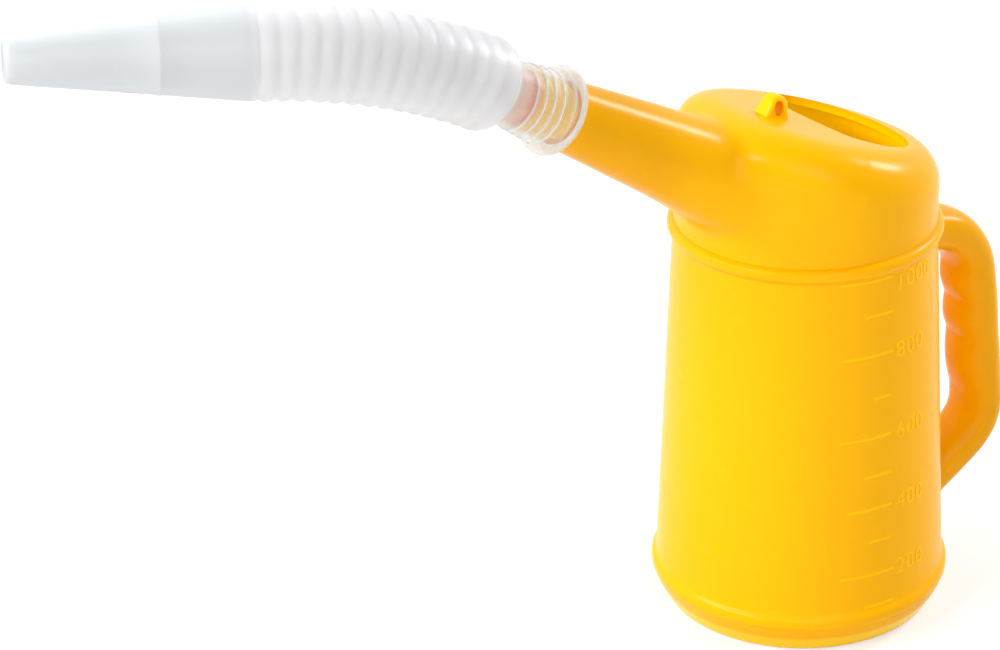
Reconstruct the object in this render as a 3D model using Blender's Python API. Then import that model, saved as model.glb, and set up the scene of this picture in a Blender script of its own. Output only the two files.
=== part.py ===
"""One-litre oil pouring jug with a screwed-on flexible spout.

Units are metres and +Z is up. The origin is the centre of the flat underside. The rigid spout and the
flexible spout point towards -X, the handle towards +X.
"""

from math import cos, pi, radians, sin, tan

import bmesh
import bpy
from mathutils import Vector

# Fits
CLEARANCE = 0.0003            # between two pieces that touch
THREAD_CLEARANCE = 0.00035    # between the mouth and the collar that screws over it

# Jug wall, base and beads
WALL = 0.0018
WALL_RADIUS_AT_BASE = 0.0528
WALL_TAPER = 0.044            # radius lost for each unit of height
BASE_BEAD_Z = 0.0154
BASE_BEAD_HEIGHT = 0.0050
BASE_BEAD_PROUD = 0.00168     # beyond the wall
BASE_BEAD_RADIUS = WALL_RADIUS_AT_BASE - WALL_TAPER * BASE_BEAD_Z + BASE_BEAD_PROUD
FOOT_INSET = 0.0051           # from the bead
FOOT_RADIUS = BASE_BEAD_RADIUS - FOOT_INSET
FOOT_EDGE = 0.0015
TOP_BEAD_Z = 0.1438
TOP_BEAD_HEIGHT = 0.0047
TOP_BEAD_PROUD = 0.0017

# Dome with its sloping top
DOME_INSET = 0.00017          # from the wall below the top bead
DOME_RADIUS = WALL_RADIUS_AT_BASE - WALL_TAPER * TOP_BEAD_Z - DOME_INSET
SPOUT_SIDE_SHOULDER = 0.0105
HANDLE_SIDE_SHOULDER = 0.0068
CROSS_SHOULDER = 0.0163       # halfway between spout and handle
TOP_CENTRE_Z = 0.1848
TOP_SLOPE = radians(18.6)
TOP_CROWN_SAG = 0.0004

# Filler opening, seen from above, anticlockwise from its corner beside the lug
OPENING_OUTLINE = (
    (0.0010, 0.0215), (-0.0002, 0.0140), (-0.0002, 0.0060), (0.0006, -0.0030), (0.0018, -0.0120),
    (0.0036, -0.0190), (0.0075, -0.0230), (0.0120, -0.0258), (0.0180, -0.0266), (0.0250, -0.0240),
    (0.0306, -0.0176), (0.0340, -0.0095), (0.0352, 0.0000), (0.0340, 0.0095), (0.0306, 0.0178),
    (0.0252, 0.0246), (0.0190, 0.0290), (0.0130, 0.0306), (0.0070, 0.0292), (0.0030, 0.0260),
)
OPENING_LIP = 0.0030          # how deep its rim reaches below the top

# Lug with its cross hole
LUG_X = -0.0178
LUG_LENGTH = 0.0112
LUG_WIDTH = 0.0066
LUG_HEIGHT = 0.0088
LUG_ARCH_RADIUS = 0.0042      # round its hole, at the handle end
LUG_END_HEIGHT = 0.0066
LUG_HOLE_RADIUS = 0.0022
LUG_BEVEL = 0.0010

# Rigid spout, along its own axis from the jug's axis
SPOUT_AXIS_Z = 0.1506
SPOUT_ELEVATION = radians(30.8)
SPOUT_SHOULDER = 0.1197
SPOUT_END_RADIUS = 0.01166
SPOUT_TAPER = 0.076
SPOUT_FLARE_START = 0.0760
SPOUT_FLARE_LENGTH = 0.0400
SPOUT_FLARE_SIDE = 0.0140
SPOUT_FLARE_UP = 0.0030
SPOUT_EDGE = 0.0006
MOUTH_LENGTH = 0.0165
MOUTH_RADIUS = 0.0097
MOUTH_BORE = 0.0079

# Handle: its centre line from the jug's wall outwards, and its section
HANDLE_PATH = (
    (-0.0040, 0.1312), (0.0080, 0.1287), (0.0185, 0.1222), (0.0270, 0.1118), (0.0305, 0.0990),
    (0.0310, 0.0820), (0.0317, 0.0640), (0.0314, 0.0500), (0.0268, 0.0413), (0.0158, 0.0336),
    (-0.0040, 0.0225),
)
HANDLE_DEPTH = 0.0170
HANDLE_WIDTH = 0.0215
GRIP_GROOVES_Z = (0.0590, 0.0822, 0.0972, 0.1130)
GRIP_LOBE = 0.0022

# Strainer
STRAINER_FLANGE = 0.0015
STRAINER_FLANGE_RADIUS = 0.0095
STRAINER_SPIGOT = 0.0080
STRAINER_WALL = 0.0012
STRAINER_DOME_RADIUS = 0.0083
STRAINER_DOME_HEIGHT = 0.0082
STRAINER_SLOTS = 8
STRAINER_SLOT_WIDTH = 0.0016

# Collar of the flexible spout
COLLAR_BEAD_RADIUS = 0.0154
COLLAR_BEAD_WIDTH = 0.0066
COLLAR_RIM_RADIUS = 0.0141
COLLAR_ROOT_WALL = 0.0024
NECK_RADIUS = 0.0112
NECK_WALL = 0.0020
NECK_LENGTH = 0.0103
NECK_SHOULDER = 0.0026

# Ribbed hose
RIB_PITCH = 0.00589
RIBS_IN_SEGMENTS = (4, 3, 3, 4)
RIB_RADIUS = 0.0159
RIB_DEPTH = 0.0009
HOSE_BORE = 0.0140
NOZZLE_HEADING = radians(22.8)
NOZZLE_ELEVATION = radians(2.9)

# Nozzle
NOZZLE_LENGTH = 0.0784
NOZZLE_BASE_RADIUS = 0.0156
NOZZLE_TIP_RADIUS = 0.0071
NOZZLE_WALL = 0.0012
NOZZLE_EDGE = 0.0008

# Facets
BODY_SIDES = 48
SPOUT_SIDES = 32
HOSE_SIDES = 28
HANDLE_SIDES = 16


def clear_scene():
    """Remove what the file opened with."""
    for old in list(bpy.data.objects):
        bpy.data.objects.remove(old)


def material(name, colour, roughness):
    """A plain plastic material."""
    made = bpy.data.materials.new(name)
    made.use_nodes = True
    shader = made.node_tree.nodes["Principled BSDF"]
    shader.inputs["Base Color"].default_value = (*colour, 1.0)
    shader.inputs["Roughness"].default_value = roughness
    shader.inputs["Metallic"].default_value = 0.0
    made.diffuse_color = (*colour, 1.0)
    return made


def make_object(name, bm, finish, origin=Vector()):
    """Turn a bmesh into a named object whose origin is at the given point."""
    bmesh.ops.recalc_face_normals(bm, faces=bm.faces)
    bmesh.ops.translate(bm, verts=bm.verts, vec=-origin)
    mesh = bpy.data.meshes.new(name)
    bm.to_mesh(mesh)
    bm.free()
    mesh.shade_smooth()
    mesh.set_sharp_from_angle(angle=radians(35))
    made = bpy.data.objects.new(name, mesh)
    made.location = origin
    bpy.context.collection.objects.link(made)
    if finish:
        mesh.materials.append(finish)
    return made


def boolean(target, other, operation):
    """Join or cut the target with a guide object, which is then hidden."""
    change = target.modifiers.new(f"{operation.lower()} {other.name}", "BOOLEAN")
    change.operation = operation
    change.solver = "EXACT"
    change.object = other
    other.hide_render = True
    other.display_type = "WIRE"


def loft(rings, looped=False):
    """Skin a row of rings. A ring of one point is a pole; looped joins the last ring to the first."""
    bm = bmesh.new()
    rows = [[bm.verts.new(point) for point in ring] for ring in rings]
    pairs = list(zip(rows, rows[1:]))
    if looped:
        pairs.append((rows[-1], rows[0]))
    for low, high in pairs:
        sides = max(len(low), len(high))
        for i in range(sides):
            j = (i + 1) % sides
            corners = [low[i % len(low)], low[j % len(low)], high[j % len(high)], high[i % len(high)]]
            bm.faces.new(list(dict.fromkeys(corners)))
    if not looped:
        for row in (rows[0], rows[-1]):
            if len(row) > 1:
                bm.faces.new(row)
    return bm


def turned(profile, sides, frame, looped=False):
    """Turn (radius, distance) points about the axis of a frame."""
    origin, along, across, up = frame
    rings = []
    for radius, distance in profile:
        centre = origin + along * distance
        if radius == 0:
            rings.append([centre])
            continue
        rings.append([centre + radius * (across * cos(a) + up * sin(a)) for a in angles(sides)])
    return loft(rings, looped)


def angles(sides):
    return [2 * pi * i / sides for i in range(sides)]


def curve_through(points, steps):
    """A smooth open curve through the points, with the given steps to each span."""
    ends = [2 * points[0] - points[1], *points, 2 * points[-1] - points[-2]]
    out = []
    for a, b, c, d in zip(ends, ends[1:], ends[2:], ends[3:]):
        for i in range(steps):
            t = i / steps
            out.append(0.5 * (2 * b + (c - a) * t + (2 * a - 5 * b + 4 * c - d) * t ** 2
                              + (3 * b - a - 3 * c + d) * t ** 3))
    return out + [points[-1]]


def closed_curve_through(points, steps):
    """The same for a closed outline."""
    wrapped = [points[-1], *points, points[0], points[1]]
    out = []
    for a, b, c, d in zip(wrapped, wrapped[1:], wrapped[2:], wrapped[3:]):
        for i in range(steps):
            t = i / steps
            out.append(0.5 * (2 * b + (c - a) * t + (2 * a - 5 * b + 4 * c - d) * t ** 2
                              + (3 * b - a - 3 * c + d) * t ** 3))
    return out


# Jug body

def wall_radius(z):
    """Outer radius of the tapered wall."""
    return WALL_RADIUS_AT_BASE - WALL_TAPER * z


def top_z(x, y):
    """Height of the dome's sloping, slightly crowned top."""
    return TOP_CENTRE_Z - x * tan(TOP_SLOPE) - TOP_CROWN_SAG * (y / DOME_RADIUS) ** 2


def shoulder_radius(a):
    """The dome's shoulder is roundest across the jug and tightest over the handle."""
    middle = (SPOUT_SIDE_SHOULDER + HANDLE_SIDE_SHOULDER) / 2
    swing = (SPOUT_SIDE_SHOULDER - HANDLE_SIDE_SHOULDER) / 2
    return middle - swing * cos(a) + (CROSS_SHOULDER - middle) * sin(a) ** 2


def level_ring(radius, z):
    return [Vector((radius * cos(a), radius * sin(a), z)) for a in angles(BODY_SIDES)]


def dome_rings(inset):
    """The dome above the wall: rounded shoulder, then the sloping top, to its pole."""
    rings = []
    for step in range(7):
        turn = pi / 2 * step / 6
        ring = []
        for a in angles(BODY_SIDES):
            rounding = shoulder_radius(a)
            edge = DOME_RADIUS - rounding
            out = (rounding - inset) * cos(turn)
            drop = (rounding - inset) * (1 - sin(turn)) + inset + out * cos(a) * tan(TOP_SLOPE)
            height = top_z(edge * cos(a), edge * sin(a)) - drop
            ring.append(Vector(((edge + out) * cos(a), (edge + out) * sin(a), height)))
        rings.append(ring)
    for share in (0.66, 0.33):
        ring = []
        for a in angles(BODY_SIDES):
            radius = (DOME_RADIUS - shoulder_radius(a)) * share
            x, y = radius * cos(a), radius * sin(a)
            ring.append(Vector((x, y, top_z(x, y) - inset)))
        rings.append(ring)
    rings.append([Vector((0, 0, top_z(0, 0) - inset))])
    return rings


def body_outside():
    """Foot, base bead, tapered wall, top bead and dome."""
    bead_low = BASE_BEAD_Z - BASE_BEAD_HEIGHT
    bead_step = BASE_BEAD_RADIUS - wall_radius(BASE_BEAD_Z)
    rings = [
        level_ring(FOOT_RADIUS - FOOT_EDGE, 0),
        level_ring(FOOT_RADIUS - 0.3 * FOOT_EDGE, 0.3 * FOOT_EDGE),
        level_ring(FOOT_RADIUS, FOOT_EDGE),
        level_ring(FOOT_RADIUS + 0.72 * (BASE_BEAD_RADIUS - FOOT_RADIUS), 0.6 * bead_low),
        level_ring(BASE_BEAD_RADIUS - 0.35 * bead_step, bead_low),
        level_ring(BASE_BEAD_RADIUS, bead_low + 0.35 * BASE_BEAD_HEIGHT),
        level_ring(BASE_BEAD_RADIUS, bead_low + 0.75 * BASE_BEAD_HEIGHT),
        level_ring(BASE_BEAD_RADIUS - 0.4 * bead_step, BASE_BEAD_Z),
        level_ring(wall_radius(BASE_BEAD_Z), BASE_BEAD_Z + 0.1 * BASE_BEAD_HEIGHT),
        level_ring(wall_radius(TOP_BEAD_Z), TOP_BEAD_Z),
    ]
    bead_radius = wall_radius(TOP_BEAD_Z) + TOP_BEAD_PROUD
    for share in (0.15, 0.4, 0.65):
        inward = TOP_BEAD_PROUD * (1 - sin(pi * (0.25 + 0.75 * share)))
        rings.append(level_ring(bead_radius - inward, TOP_BEAD_Z + share * TOP_BEAD_HEIGHT))
    rings.append(level_ring(DOME_RADIUS, TOP_BEAD_Z + TOP_BEAD_HEIGHT))
    return loft(rings + dome_rings(0))


def body_inside():
    """The cavity that the wall leaves."""
    rings = [
        level_ring(FOOT_RADIUS - WALL, WALL),
        level_ring(wall_radius(BASE_BEAD_Z) - WALL, BASE_BEAD_Z),
        level_ring(wall_radius(TOP_BEAD_Z) - WALL, TOP_BEAD_Z),
        level_ring(DOME_RADIUS - WALL, TOP_BEAD_Z + TOP_BEAD_HEIGHT),
    ]
    return loft(rings + dome_rings(WALL))


def spout_frame():
    """Origin, direction and two cross directions of the rigid spout."""
    along = Vector((-cos(SPOUT_ELEVATION), 0, sin(SPOUT_ELEVATION)))
    across = Vector((0, 1, 0))
    return Vector((0, 0, SPOUT_AXIS_Z)), along, across, along.cross(across)


def spout_radius(distance):
    """Outer radius of the rigid spout's plain taper."""
    return SPOUT_END_RADIUS + SPOUT_TAPER * (SPOUT_SHOULDER - distance)


def spout_section(distance, radius):
    """A ring across the rigid spout. Near the dome it spreads, most of all to the sides."""
    origin, along, across, up = spout_frame()
    share = max(0.0, SPOUT_FLARE_START - distance) / SPOUT_FLARE_LENGTH
    wide = radius + SPOUT_FLARE_SIDE * share ** 2
    high = radius + SPOUT_FLARE_UP * share ** 2
    centre = origin + along * distance
    return [centre + across * wide * cos(a) + up * high * sin(a) for a in angles(SPOUT_SIDES)]


def spout_stations():
    """Distances along the rigid spout where it flares, from inside the dome outwards."""
    start = SPOUT_FLARE_START - SPOUT_FLARE_LENGTH
    return [start + SPOUT_FLARE_LENGTH * i / 6 for i in range(7)]


def spout_outside():
    """Flared root, tapered length, and the narrower mouth that the collar screws over."""
    mouth_end = SPOUT_SHOULDER + MOUTH_LENGTH
    rings = [spout_section(d, spout_radius(d)) for d in spout_stations()]
    rings += [spout_section(d, r) for r, d in (
        (SPOUT_END_RADIUS, SPOUT_SHOULDER - SPOUT_EDGE), (SPOUT_END_RADIUS - SPOUT_EDGE, SPOUT_SHOULDER),
        (MOUTH_RADIUS, SPOUT_SHOULDER), (MOUTH_RADIUS, mouth_end - SPOUT_EDGE),
        (MOUTH_RADIUS - SPOUT_EDGE, mouth_end))]
    return loft(rings)


def spout_bore():
    past_end = SPOUT_SHOULDER + MOUTH_LENGTH + WALL
    rings = [spout_section(d, spout_radius(d) - WALL) for d in spout_stations()]
    narrowing = SPOUT_SHOULDER - (SPOUT_END_RADIUS - MOUTH_BORE)
    rings.append(spout_section(narrowing - SPOUT_END_RADIUS, spout_radius(narrowing) - WALL))
    rings += [spout_section(d, MOUTH_BORE) for d in (narrowing, past_end)]
    return loft(rings)


def grip_lobe(z):
    """How far the grip swells towards the fingers at this height: a lobe between two grooves."""
    for low, high in zip(GRIP_GROOVES_Z, GRIP_GROOVES_Z[1:]):
        if low < z < high:
            return GRIP_LOBE * sin(pi * (z - low) / (high - low))
    return 0.0


def handle():
    """A rounded oval section swept along the handle's centre line."""
    points = [Vector((wall_radius(z) + out, 0, z)) for out, z in HANDLE_PATH]
    path = curve_through(points, 5)
    rings = []
    for i, centre in enumerate(path):
        before, after = path[max(i - 1, 0)], path[min(i + 1, len(path) - 1)]
        along = (after - before).normalized()
        inward = Vector((0, 1, 0)).cross(along)
        ring = []
        for a in angles(HANDLE_SIDES):
            squared_cos = abs(cos(a)) ** 0.85 * (1 if cos(a) > 0 else -1)
            squared_sin = abs(sin(a)) ** 0.85 * (1 if sin(a) > 0 else -1)
            depth = HANDLE_DEPTH / 2
            if squared_cos > 0:
                depth += grip_lobe(centre.z)
            sideways = Vector((0, squared_sin * HANDLE_WIDTH / 2, 0))
            ring.append(centre + inward * depth * squared_cos + sideways)
        rings.append(ring)
    return loft(rings)


def lug_hole_place():
    """The hole's distance from the lug's middle along X, and its height."""
    return LUG_LENGTH / 2 - LUG_ARCH_RADIUS, top_z(LUG_X, 0) + LUG_HEIGHT - LUG_ARCH_RADIUS


def lug():
    """An ear on the sloping top: an arch round its hole, sloping down towards the spout."""
    base = top_z(LUG_X, 0) - WALL / 2
    half = LUG_LENGTH / 2
    hole_x, hole_z = lug_hole_place()
    outline = [(half, base - half * tan(TOP_SLOPE))]
    outline += [(hole_x + LUG_ARCH_RADIUS * cos(a), hole_z + LUG_ARCH_RADIUS * sin(a))
                for a in [pi * i / 8 for i in range(6)]]
    outline.append((-half, top_z(LUG_X, 0) + LUG_END_HEIGHT))
    outline.append((-half, base + half * tan(TOP_SLOPE)))
    rings = []
    for side in (-1, 1):
        for inset, y in ((LUG_BEVEL, 1.0), (0, 1 - 2 * LUG_BEVEL / LUG_WIDTH))[::-side]:
            ring = []
            for x, z in outline:
                pull = 1 - inset / half
                low = z <= base + half * tan(TOP_SLOPE)
                ring.append(Vector((LUG_X + x * pull, side * y * LUG_WIDTH / 2, z if low else z - inset)))
            rings.append(ring)
    return loft(rings)


def lug_hole():
    hole_x, hole_z = lug_hole_place()
    frame = (Vector((LUG_X + hole_x, 0, hole_z)), Vector((0, 1, 0)), Vector((1, 0, 0)), Vector((0, 0, 1)))
    return turned([(LUG_HOLE_RADIUS, -LUG_WIDTH), (LUG_HOLE_RADIUS, LUG_WIDTH)], 16, frame)


def opening_prism(outset, depth):
    """The filler opening's outline, grown by the outset, from this deep below the top to well above it."""
    outline = closed_curve_through([Vector((x, y, 0)) for x, y in OPENING_OUTLINE], 3)
    grown = []
    for before, point, after in zip(outline[-1:] + outline[:-1], outline, outline[1:] + outline[:1]):
        along = (after - before).normalized()
        grown.append(point + outset * Vector((along.y, -along.x, 0)))
    low = [Vector((p.x, p.y, top_z(p.x, p.y) - depth)) for p in grown]
    high = [Vector((p.x, p.y, top_z(p.x, p.y) + OPENING_LIP)) for p in grown]
    return loft([low, high])


def cavity(finish):
    """The inside, short of the lip round the filler opening."""
    made = make_object("cavity", body_inside(), finish)
    boolean(made, make_object("lip", opening_prism(WALL, OPENING_LIP), finish), "DIFFERENCE")
    return made


def make_jug(finish):
    """The jug as one moulding: outside shapes joined, then the cavity, bore and openings cut."""
    jug = make_object("jug_body", body_outside(), finish)
    for name, shape in (("spout outside", spout_outside()), ("handle", handle()), ("lug", lug())):
        boolean(jug, make_object(name, shape, finish), "UNION")
    boolean(jug, cavity(finish), "DIFFERENCE")
    cuts = (("spout bore", spout_bore()), ("filler opening", opening_prism(0, 2 * OPENING_LIP)),
            ("lug hole", lug_hole()))
    for name, shape in cuts:
        boolean(jug, make_object(name, shape, finish), "DIFFERENCE")
    return jug


# Strainer

def make_strainer(finish):
    """Spigot in the mouth's bore, flange on its end, and a slotted dome in the neck."""
    origin, along, across, up = spout_frame()
    seat = origin + along * (SPOUT_SHOULDER + MOUTH_LENGTH + CLEARANCE)
    frame = (seat, along, across, up)
    spigot_radius = MOUTH_BORE - THREAD_CLEARANCE
    profile = [(spigot_radius - STRAINER_WALL, -STRAINER_SPIGOT), (spigot_radius, -STRAINER_SPIGOT)]
    profile += [(spigot_radius, 0), (STRAINER_FLANGE_RADIUS, 0), (STRAINER_FLANGE_RADIUS, STRAINER_FLANGE)]
    turns = [pi / 2 * i / 5 for i in range(6)]
    rise = STRAINER_DOME_HEIGHT
    profile += [(STRAINER_DOME_RADIUS * cos(t) ** 0.6, STRAINER_FLANGE + rise * sin(t)) for t in turns[:-1]]
    profile.append((0, STRAINER_FLANGE + rise))
    hollow = STRAINER_DOME_RADIUS - STRAINER_WALL
    inner_rise = rise - STRAINER_WALL
    profile.append((0, STRAINER_FLANGE + inner_rise))
    profile += [(hollow * cos(t) ** 0.6, STRAINER_FLANGE + inner_rise * sin(t)) for t in turns[-2:0:-1]]
    profile.append((spigot_radius - STRAINER_WALL, 0))
    strainer = make_object("strainer", ring_body(profile, 24, frame), finish, seat)
    cutter = bmesh.new()
    for i in range(STRAINER_SLOTS):
        a = 2 * pi * i / STRAINER_SLOTS
        outward = across * cos(a) + up * sin(a)
        sideways = along.cross(outward)
        add_slot(cutter, seat, along, outward, sideways)
    boolean(strainer, make_object("strainer slots", cutter, finish), "DIFFERENCE")
    return strainer


def add_slot(bm, seat, along, outward, sideways):
    """One box that cuts a slot in the dome's side."""
    corners = []
    for near in (0.4 * STRAINER_DOME_RADIUS, 1.2 * STRAINER_DOME_RADIUS):
        for low in (STRAINER_FLANGE + STRAINER_WALL, STRAINER_FLANGE + 1.1 * STRAINER_DOME_HEIGHT):
            for side in (-STRAINER_SLOT_WIDTH / 2, STRAINER_SLOT_WIDTH / 2):
                corners.append(bm.verts.new(seat + outward * near + along * low + sideways * side))
    for face in ((0, 1, 3, 2), (4, 6, 7, 5), (0, 4, 5, 1), (2, 3, 7, 6), (0, 2, 6, 4), (1, 5, 7, 3)):
        bm.faces.new([corners[i] for i in face])


def ring_body(profile, sides, frame):
    """Turn a closed profile that may touch the axis at two neighbouring points."""
    origin, along, across, up = frame
    bm = bmesh.new()
    rows = []
    for radius, distance in profile:
        centre = origin + along * distance
        spots = angles(sides) if radius else [0]
        rows.append([bm.verts.new(centre + radius * (across * cos(a) + up * sin(a))) for a in spots])
    for low, high in zip(rows, rows[1:] + rows[:1]):
        if len(low) == 1 and len(high) == 1:
            continue
        for i in range(sides):
            j = (i + 1) % sides
            corners = [low[i % len(low)], low[j % len(low)], high[j % len(high)], high[i % len(high)]]
            bm.faces.new(list(dict.fromkeys(corners)))
    return bm


# Flexible spout

def collar_places():
    """Distances along the spout axis of the collar's rim, seat, neck end and hose start."""
    rim = SPOUT_SHOULDER + CLEARANCE
    seat = SPOUT_SHOULDER + MOUTH_LENGTH + 2 * CLEARANCE + STRAINER_FLANGE
    neck_end = seat + NECK_LENGTH
    hose_start = neck_end + NECK_SHOULDER
    return rim, seat, neck_end, hose_start


def make_collar(finish):
    """End bead, threaded length shown plain, neck with the strainer's seat, and the hose's shoulder."""
    frame = spout_frame()
    rim, seat, neck_end, hose_start = collar_places()
    bore = MOUTH_RADIUS + THREAD_CLEARANCE
    neck_bore = NECK_RADIUS - NECK_WALL
    width = COLLAR_BEAD_WIDTH
    root = bore + COLLAR_ROOT_WALL
    hose_end = hose_start - CLEARANCE
    profile = [
        (bore, rim), (COLLAR_RIM_RADIUS, rim),
        (COLLAR_BEAD_RADIUS, rim + 0.30 * width), (COLLAR_BEAD_RADIUS, rim + 0.62 * width),
        (COLLAR_RIM_RADIUS, rim + 0.90 * width), (root, rim + 1.05 * width),
        (NECK_RADIUS, seat), (NECK_RADIUS, neck_end),
        (NECK_RADIUS + 0.7 * (rib_valley() - NECK_RADIUS), neck_end + 0.35 * NECK_SHOULDER),
        (rib_valley(), hose_end), (HOSE_BORE, hose_end),
        (neck_bore + 0.7 * (HOSE_BORE - neck_bore), neck_end + 0.75 * NECK_SHOULDER),
        (neck_bore, neck_end), (neck_bore, seat), (bore, seat),
    ]
    origin = frame[0] + frame[1] * rim
    return make_object("spout_collar", turned(profile, SPOUT_SIDES, frame, looped=True), finish, origin)


def rib_valley():
    return RIB_RADIUS - RIB_DEPTH


def hose_bend():
    """Start point, start direction, the direction it bends to, and the whole angle of the bend."""
    origin, along, across, up = spout_frame()
    start = origin + along * collar_places()[3]
    level = cos(NOZZLE_ELEVATION)
    end_direction = Vector((-level * cos(NOZZLE_HEADING), level * sin(NOZZLE_HEADING), sin(NOZZLE_ELEVATION)))
    towards = (end_direction - along * end_direction.dot(along)).normalized()
    return start, along, towards, along.angle(end_direction)


def hose_length():
    return RIB_PITCH * sum(RIBS_IN_SEGMENTS)


def hose_frame(distance):
    """Frame of the hose's arc at a distance from its start. The third axis is square to the bend."""
    start, along, towards, bend = hose_bend()
    radius = hose_length() / bend
    turn = distance / radius
    centre = start + radius * (sin(turn) * along + (1 - cos(turn)) * towards)
    heading = cos(turn) * along + sin(turn) * towards
    normal = along.cross(towards)
    return centre, heading, normal, heading.cross(normal)


def hose_ring(distance, radius):
    centre, heading, normal, side = hose_frame(distance)
    return [centre + radius * (normal * cos(a) + side * sin(a)) for a in angles(HOSE_SIDES)]


def hose_segment(first_rib, ribs):
    """Ribs outside and a plainer bore inside, closed at both ends."""
    start, end = first_rib * RIB_PITCH, (first_rib + ribs) * RIB_PITCH
    if first_rib > 0:
        start += CLEARANCE / 2
    if first_rib + ribs < sum(RIBS_IN_SEGMENTS):
        end -= CLEARANCE / 2
    outside = [hose_ring(start, rib_valley())]
    for rib in range(first_rib, first_rib + ribs):
        for share, height in ((0.22, 0.75), (0.5, 1.0), (0.78, 0.75)):
            radius = rib_valley() + RIB_DEPTH * height
            outside.append(hose_ring((rib + share) * RIB_PITCH, radius))
        outside.append(hose_ring(min((rib + 1) * RIB_PITCH, end), rib_valley()))
    inside = [hose_ring(end + (start - end) * i / ribs, HOSE_BORE) for i in range(ribs + 1)]
    return loft(outside + inside, looped=True)


def make_hose(finish):
    """Segments that meet at valleys. Each has its origin on the joint before it."""
    joint_at = collar_places()[0]
    origin = spout_frame()[0] + spout_frame()[1] * joint_at
    first = 0
    for number, ribs in enumerate(RIBS_IN_SEGMENTS, start=1):
        make_object(f"hose_{number}", hose_segment(first, ribs), finish, origin)
        origin = hose_frame((first + ribs / 2) * RIB_PITCH)[0]
        first += ribs
    return origin


def make_nozzle(finish, origin):
    """The cone, open at its tip, with its origin on the last joint of the hose."""
    centre, heading, normal, side = hose_frame(hose_length())
    frame = (centre + heading * CLEARANCE, heading, normal, side)
    tip = NOZZLE_LENGTH - CLEARANCE
    edge = NOZZLE_EDGE
    taper = (NOZZLE_BASE_RADIUS - NOZZLE_TIP_RADIUS) / NOZZLE_LENGTH
    profile = [
        (HOSE_BORE, 0), (rib_valley(), 0), (NOZZLE_BASE_RADIUS - 0.25 * edge, 0.5 * edge),
        (NOZZLE_BASE_RADIUS - taper * 2 * edge, 2 * edge),
        (NOZZLE_TIP_RADIUS + taper * edge, tip - edge), (NOZZLE_TIP_RADIUS - 0.3 * edge, tip - 0.3 * edge),
        (NOZZLE_TIP_RADIUS - edge, tip),
        (NOZZLE_TIP_RADIUS - NOZZLE_WALL, tip - 0.4 * edge),
        (NOZZLE_BASE_RADIUS - NOZZLE_WALL - taper * 4 * edge, 4 * edge),
    ]
    return make_object("nozzle", turned(profile, HOSE_SIDES, frame, looped=True), finish, origin)


def main():
    clear_scene()
    yellow = material("yellow polyethylene", (1.0, 0.52, 0.0), 0.35)
    red = material("red plastic", (0.65, 0.05, 0.02), 0.4)
    frosted = material("frosted polyethylene", (0.8, 0.82, 0.83), 0.45)
    make_jug(yellow)
    make_strainer(red)
    make_collar(frosted)
    last_joint = make_hose(frosted)
    make_nozzle(frosted, last_joint)


main()
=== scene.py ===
"""Looks of a one-litre oil pouring jug with a screwed-on flexible spout, over its solids.

Metres, +Z up, origin at the centre of the underside. The spouts point to -X and the handle to +X.
"""

from math import atan2, cos, hypot, pi, radians, sin, tan

import bmesh
import bpy
from mathutils import Matrix, Vector
from mathutils.bvhtree import BVHTree


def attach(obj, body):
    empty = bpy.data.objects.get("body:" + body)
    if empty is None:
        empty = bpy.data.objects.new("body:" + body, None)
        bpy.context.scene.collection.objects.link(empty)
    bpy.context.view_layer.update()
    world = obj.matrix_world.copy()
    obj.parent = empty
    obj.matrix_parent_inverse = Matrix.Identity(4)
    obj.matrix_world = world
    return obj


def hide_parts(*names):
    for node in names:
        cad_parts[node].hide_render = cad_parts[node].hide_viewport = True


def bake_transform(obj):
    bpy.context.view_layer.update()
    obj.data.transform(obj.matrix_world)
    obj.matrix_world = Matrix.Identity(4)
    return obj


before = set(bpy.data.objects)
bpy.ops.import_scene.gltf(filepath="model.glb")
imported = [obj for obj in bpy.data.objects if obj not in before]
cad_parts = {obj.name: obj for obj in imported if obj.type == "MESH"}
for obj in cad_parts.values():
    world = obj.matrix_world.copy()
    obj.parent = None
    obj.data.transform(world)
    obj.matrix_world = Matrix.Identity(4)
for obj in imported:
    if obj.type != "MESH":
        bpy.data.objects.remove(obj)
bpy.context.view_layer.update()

# The part's own sizes
WALL = 0.0018
FOOT_RADIUS = 0.0487
BASE_BEAD_RADIUS = 0.0538
BASE_BEAD_Z = 0.0154
WALL_RADIUS_AT_BASE = 0.0528
WALL_TAPER = 0.044
TOP_BEAD_Z = 0.1438
TOP_BEAD_HEIGHT = 0.0047
DOME_RADIUS = 0.0463
DOME_START = TOP_BEAD_Z + TOP_BEAD_HEIGHT
SPOUT_SIDE_SHOULDER = 0.0105
SPOUT_SIDE_SOFTER = 0.0085      # more rounding, just at the spout's side
HANDLE_SIDE_SHOULDER = 0.0068
CROSS_SHOULDER = 0.0163
TOP_CENTRE_Z = 0.1848
TOP_SLOPE = radians(18.6)
TOP_CROWN_SAG = 0.0004
OPENING_OUTLINE = (
    (0.0010, 0.0215), (-0.0002, 0.0140), (-0.0002, 0.0060), (0.0006, -0.0030), (0.0018, -0.0120),
    (0.0036, -0.0190), (0.0075, -0.0230), (0.0120, -0.0258), (0.0180, -0.0266), (0.0250, -0.0240),
    (0.0306, -0.0176), (0.0340, -0.0095), (0.0352, 0.0000), (0.0340, 0.0095), (0.0306, 0.0178),
    (0.0252, 0.0246), (0.0190, 0.0290), (0.0130, 0.0306), (0.0070, 0.0292), (0.0030, 0.0260),
)
OPENING_LIP = 0.0030
LUG_X = -0.0168
LUG_Y = -0.0010
LUG_LENGTH = 0.0106
LUG_WIDTH = 0.0076
LUG_HEIGHT = 0.0073
LUG_ARCH_RADIUS = 0.0037
LUG_HOLE_RADIUS = 0.0020
LUG_BEVEL = 0.0011
LUG_SUNK = 0.0016               # into the top
SPOUT_AXIS_Z = 0.1506
SPOUT_ELEVATION = radians(30.8)
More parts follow.
